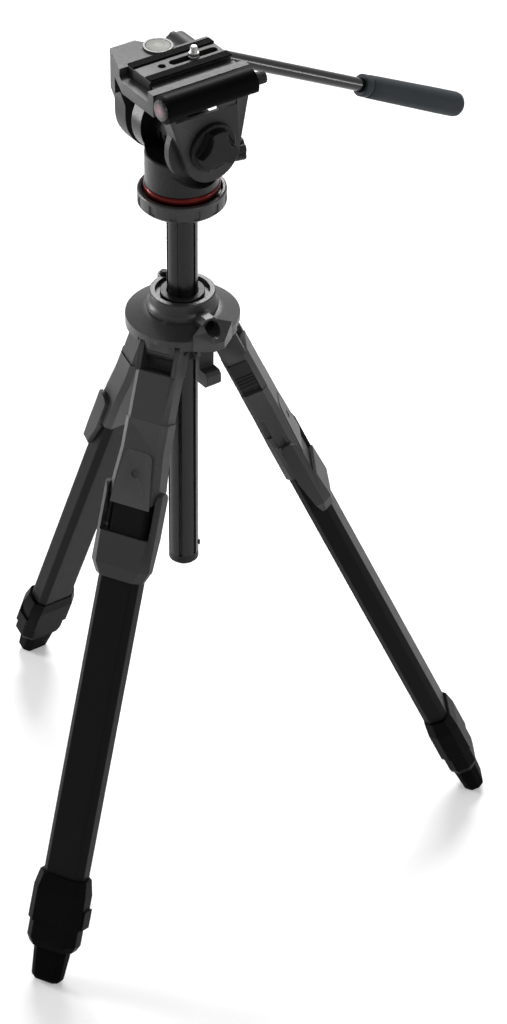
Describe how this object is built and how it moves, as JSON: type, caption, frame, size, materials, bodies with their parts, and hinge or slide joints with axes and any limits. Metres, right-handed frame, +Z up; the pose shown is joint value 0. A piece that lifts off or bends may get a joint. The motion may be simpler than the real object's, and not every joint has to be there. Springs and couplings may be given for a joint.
{
  "type": "camera tripod",
  "caption": "Film and video camera tripod with telescopic legs, a sliding centre column and a fluid head that carries a quick-release plate, a bubble level and a pan bar.",
  "frame": {"origin": "middle of the footprint on the floor, under the feet", "axes": "+Z up along the centre column, -Y the way the camera looks, +Y along the pan bar, +X towards the head's left side with its tilt knob"},
  "size_m": [0.4198, 0.5516, 0.7632],
  "materials": {
    "hub_grey": "fine textured grey paint on cast aluminium",
    "leg_casting_grey": "fine textured grey paint on cast aluminium",
    "lever_grey": "fine textured grey moulding",
    "tube_black": "satin black anodised extrusion",
    "inner_tube_black": "satin black anodised extrusion",
    "collar_black": "fine textured black moulding",
    "foot_rubber": "moulded black rubber",
    "column_black": "satin dark anodised extrusion with grooves",
    "cap_black": "fine textured black moulding",
    "bushing_black": "smooth black bearing plastic",
    "steel": "plain bright steel",
    "collar_grey": "fine textured grey paint",
    "index_red": "bright red anodised ring",
    "head_grey": "fine textured charcoal paint on cast aluminium",
    "spring_black": "ribbed black moulding",
    "knob_black": "soft black grip moulding",
    "barrel_black": "satin black paint",
    "cap_pink": "glossy pinkish moulded disc",
    "plate_grey": "bead-blasted light grey anodising",
    "pad_rubber": "ribbed black rubber",
    "level_grey": "plain grey moulding",
    "level_fluid": "clear lens over pale warm fluid",
    "rod_black": "glossy black anodised tube",
    "grip_rubber": "dark blue-grey rubber sleeve"
  },
  "bodies": {
    "hub": {"hub_casting": "hub_grey", "hub_skirt": "hub_grey", "hub_ring": "hub_grey", "column_bushing": "bushing_black", "hinge_pins": "steel", "accessory_socket": "steel"},
    "column_release": {"release_button": "knob_black"},
    "column_lock": {"column_lock_lever": "lever_grey"},
    "column": {"center_column": "column_black", "column_end_cap": "cap_black", "mounting_collar": "collar_grey", "index_ring": "index_red"},
    "pan_unit": {"pan_housing": "head_grey", "spring_housing": "spring_black"},
    "pan_lock": {"pan_lock_knob": "knob_black"},
    "tilt_unit": {"tilt_frame": "head_grey", "tilt_shaft": "steel", "bubble_level": "level_grey", "level_vial": "level_fluid"},
    "tilt_lock": {"tilt_knob": "knob_black"},
    "plate_lock": {"plate_lock_barrel": "barrel_black", "barrel_cap": "cap_pink"},
    "drag_control": {"drag_knob": "knob_black"},
    "plate": {"quick_plate": "plate_grey", "plate_pads": "pad_rubber"},
    "screw": {"camera_screw": "steel"},
    "bar": {"bar_clamp": "head_grey", "pan_bar": "rod_black", "bar_grip": "grip_rubber"},
    "bar_lock": {"bar_clamp_knob": "knob_black"},
    "leg_1": {"leg_1_shoulder": "leg_casting_grey", "leg_1_clamp": "leg_casting_grey", "leg_1_upper_tube": "tube_black", "leg_1_upper_collar": "collar_black"},
    "leg_1_tab": {"leg_1_angle_tab": "knob_black"},
    "leg_1_lock": {"leg_1_lever": "lever_grey"},
    "leg_1_middle": {"leg_1_middle_tube": "inner_tube_black", "leg_1_lower_collar": "collar_black"},
    "leg_1_lower": {"leg_1_lower_tube": "inner_tube_black", "leg_1_foot": "foot_rubber"},
    "leg_2": {"leg_2_shoulder": "leg_casting_grey", "leg_2_clamp": "leg_casting_grey", "leg_2_upper_tube": "tube_black", "leg_2_upper_collar": "collar_black"},
    "leg_2_tab": {"leg_2_angle_tab": "knob_black"},
    "leg_2_lock": {"leg_2_lever": "lever_grey"},
    "leg_2_middle": {"leg_2_middle_tube": "inner_tube_black", "leg_2_lower_collar": "collar_black"},
    "leg_2_lower": {"leg_2_lower_tube": "inner_tube_black", "leg_2_foot": "foot_rubber"},
    "leg_3": {"leg_3_shoulder": "leg_casting_grey", "leg_3_clamp": "leg_casting_grey", "leg_3_upper_tube": "tube_black", "leg_3_upper_collar": "collar_black"},
    "leg_3_tab": {"leg_3_angle_tab": "knob_black"},
    "leg_3_lock": {"leg_3_lever": "lever_grey"},
    "leg_3_middle": {"leg_3_middle_tube": "inner_tube_black", "leg_3_lower_collar": "collar_black"},
    "leg_3_lower": {"leg_3_lower_tube": "inner_tube_black", "leg_3_foot": "foot_rubber"}
  },
  "joints": [
    {"name": "column_slide", "type": "slide", "parent": "hub", "child": "column", "axis": [0, 0, 1], "range_m": [-0.074, 0.195]},
    {"name": "column_release_press", "type": "slide", "parent": "hub", "child": "column_release", "axis": [0, 0, -1], "range_m": [0, 0.002], "stiffness_N_per_m": 800},
    {"name": "column_lock_turn", "type": "hinge", "parent": "hub", "child": "column_lock", "pos_m": [0.09443, -0.03604, 0.5109], "axis": [0, -1, 0], "range_deg": [0, 70]},
    {"name": "pan", "type": "hinge", "parent": "column", "child": "pan_unit", "pos_m": [0.06193, -0.03604, 0.6459], "axis": [0, 0, 1], "continuous": true},
    {"name": "pan_lock_turn", "type": "hinge", "parent": "pan_unit", "child": "pan_lock", "pos_m": [0.07102, 0.00497, 0.6694], "axis": [0.2164, 0.9763, 0], "range_deg": [0, 120]},
    {"name": "tilt", "type": "hinge", "parent": "pan_unit", "child": "tilt_unit", "pos_m": [0.06193, -0.03004, 0.6969], "axis": [-1, 0, 0], "range_deg": [-70, 55]},
    {"name": "tilt_lock_turn", "type": "hinge", "parent": "tilt_unit", "child": "tilt_lock", "pos_m": [0.09493, -0.03004, 0.6969], "axis": [1, 0, 0], "range_deg": [0, 120]},
    {"name": "plate_lock_turn", "type": "hinge", "parent": "tilt_unit", "child": "plate_lock", "pos_m": [0.10193, -0.03604, 0.7479], "axis": [0, 1, 0], "range_deg": [0, 50]},
    {"name": "drag_turn", "type": "hinge", "parent": "tilt_unit", "child": "drag_control", "pos_m": [0.10193, 0.00596, 0.7479], "axis": [0, 1, 0], "range_deg": [0, 270]},
    {"name": "plate_slide", "type": "slide", "parent": "tilt_unit", "child": "plate", "axis": [0, 1, 0], "range_m": [-0.02, 0.02]},
    {"name": "camera_screw_turn", "type": "hinge", "parent": "plate", "child": "screw", "pos_m": [0.05393, -0.01904, 0.7544], "axis": [0, 0, 1], "continuous": true},
    {"name": "bar_swing", "type": "hinge", "parent": "tilt_unit", "child": "bar", "pos_m": [0.02243, -0.00504, 0.7414], "axis": [-1, 0, 0], "range_deg": [-60, 25]},
    {"name": "bar_lock_turn", "type": "hinge", "parent": "bar", "child": "bar_lock", "pos_m": [0.02243, -0.00504, 0.7414], "axis": [-1, 0, 0], "range_deg": [0, 120]},
    {"name": "leg_1_spread", "type": "hinge", "parent": "hub", "child": "leg_1", "pos_m": [0.07793, -0.00833, 0.5119], "axis": [0.866, -0.5, 0], "range_deg": [-24.6, 55.4]},
    {"name": "leg_1_tab_pull", "type": "slide", "parent": "leg_1", "child": "leg_1_tab", "axis": [0.2081, 0.3605, -0.9092], "range_m": [0, 0.0075], "stiffness_N_per_m": 400},
    {"name": "leg_1_lever_turn", "type": "hinge", "parent": "leg_1", "child": "leg_1_lock", "pos_m": [0.10621, 0.04064, 0.39921], "axis": [0.866, -0.5, 0], "range_deg": [0, 100]},
    {"name": "leg_1_middle_slide", "type": "slide", "parent": "leg_1", "child": "leg_1_middle", "axis": [0.2081, 0.3605, -0.9092], "range_m": [0, 0.27]},
    {"name": "leg_1_lower_slide", "type": "slide", "parent": "leg_1_middle", "child": "leg_1_lower", "axis": [0.2081, 0.3605, -0.9092], "range_m": [0, 0.26]},
    {"name": "leg_2_spread", "type": "hinge", "parent": "hub", "child": "leg_2", "pos_m": [0.02993, -0.03604, 0.5119], "axis": [0, 1, 0], "range_deg": [-24.6, 55.4]},
    {"name": "leg_2_tab_pull", "type": "slide", "parent": "leg_2", "child": "leg_2_tab", "axis": [-0.4163, 0, -0.9092], "range_m": [0, 0.0075], "stiffness_N_per_m": 400},
    {"name": "leg_2_lever_turn", "type": "hinge", "parent": "leg_2", "child": "leg_2_lock", "pos_m": [-0.02661, -0.03604, 0.39921], "axis": [0, 1, 0], "range_deg": [0, 100]},
    {"name": "leg_2_middle_slide", "type": "slide", "parent": "leg_2", "child": "leg_2_middle", "axis": [-0.4163, 0, -0.9092], "range_m": [0, 0.27]},
    {"name": "leg_2_lower_slide", "type": "slide", "parent": "leg_2_middle", "child": "leg_2_lower", "axis": [-0.4163, 0, -0.9092], "range_m": [0, 0.26]},
    {"name": "leg_3_spread", "type": "hinge", "parent": "hub", "child": "leg_3", "pos_m": [0.07793, -0.06375, 0.5119], "axis": [-0.866, -0.5, 0], "range_deg": [-24.6, 55.4]},
    {"name": "leg_3_tab_pull", "type": "slide", "parent": "leg_3", "child": "leg_3_tab", "axis": [0.2081, -0.3605, -0.9092], "range_m": [0, 0.0075], "stiffness_N_per_m": 400},
    {"name": "leg_3_lever_turn", "type": "hinge", "parent": "leg_3", "child": "leg_3_lock", "pos_m": [0.10621, -0.11272, 0.39921], "axis": [-0.866, -0.5, 0], "range_deg": [0, 100]},
    {"name": "leg_3_middle_slide", "type": "slide", "parent": "leg_3", "child": "leg_3_middle", "axis": [0.2081, -0.3605, -0.9092], "range_m": [0, 0.27]},
    {"name": "leg_3_lower_slide", "type": "slide", "parent": "leg_3_middle", "child": "leg_3_lower", "axis": [0.2081, -0.3605, -0.9092], "range_m": [0, 0.26]}
  ]
}
